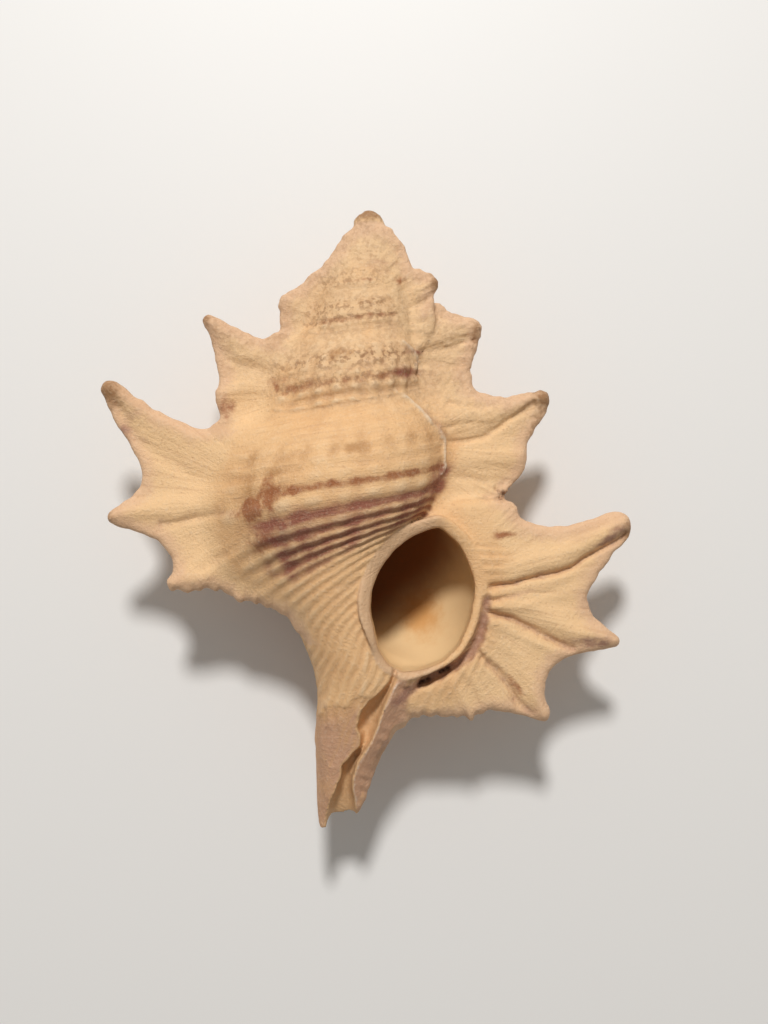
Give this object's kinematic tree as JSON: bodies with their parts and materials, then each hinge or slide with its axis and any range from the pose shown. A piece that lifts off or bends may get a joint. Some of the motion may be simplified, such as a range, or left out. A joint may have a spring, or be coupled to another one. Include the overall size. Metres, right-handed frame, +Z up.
{
  "type": "sea shell",
  "caption": "Flattened spiral sea shell with a leaf-like row of spined fins on each side, an oval mouth and an open canal, lying mouth up.",
  "frame": {"origin": "middle of the bounding box, on the surface that the shell lies on", "axes": "+Z up, out of the mouth; +Y towards the apex; +X towards the mouth's side"},
  "size_m": [0.0522, 0.0614, 0.0203],
  "materials": {
    "shell": "matt, worn, chalky shell, cream with faint purple-brown bands; smoother inside the mouth"
  },
  "bodies": {
    "root": {"shell": "shell"}
  },
  "joints": []
}
